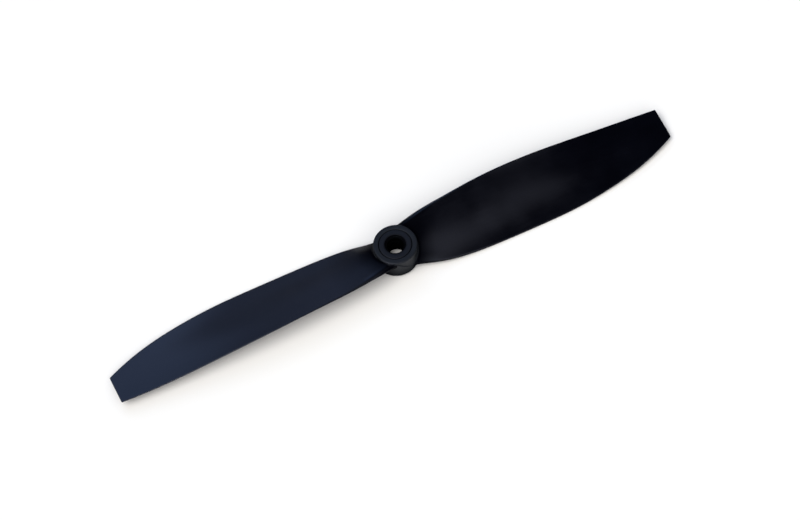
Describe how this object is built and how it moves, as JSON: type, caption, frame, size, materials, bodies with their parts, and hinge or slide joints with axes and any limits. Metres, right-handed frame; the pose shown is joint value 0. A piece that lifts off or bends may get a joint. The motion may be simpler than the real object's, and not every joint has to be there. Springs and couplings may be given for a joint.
{
  "type": "two-blade model aircraft propeller",
  "caption": "Fixed-pitch moulded model propeller with a cylindrical hub, square-tipped twisted blades and a loose shaft adapter ring in the hub's rear face.",
  "frame": {"origin": "on the bore axis at the hub's lower (front) face", "axes": "+Z along the bore axis out of the hub's rear face, where the adapter ring sits; +X along one blade, +Y towards that blade's trailing edge"},
  "size_m": [0.2282, 0.0274, 0.0113],
  "materials": {
    "moulding": "satin black glass-filled nylon",
    "ring": "matte black nylon"
  },
  "bodies": {
    "propeller": {"propeller_moulding": "moulding"},
    "ring": {"adapter_ring": "ring"}
  },
  "joints": [
    {"name": "adapter_ring_lift", "type": "slide", "parent": "propeller", "child": "ring", "axis": [0, 0, 1], "range_m": [0, 0.015]}
  ]
}
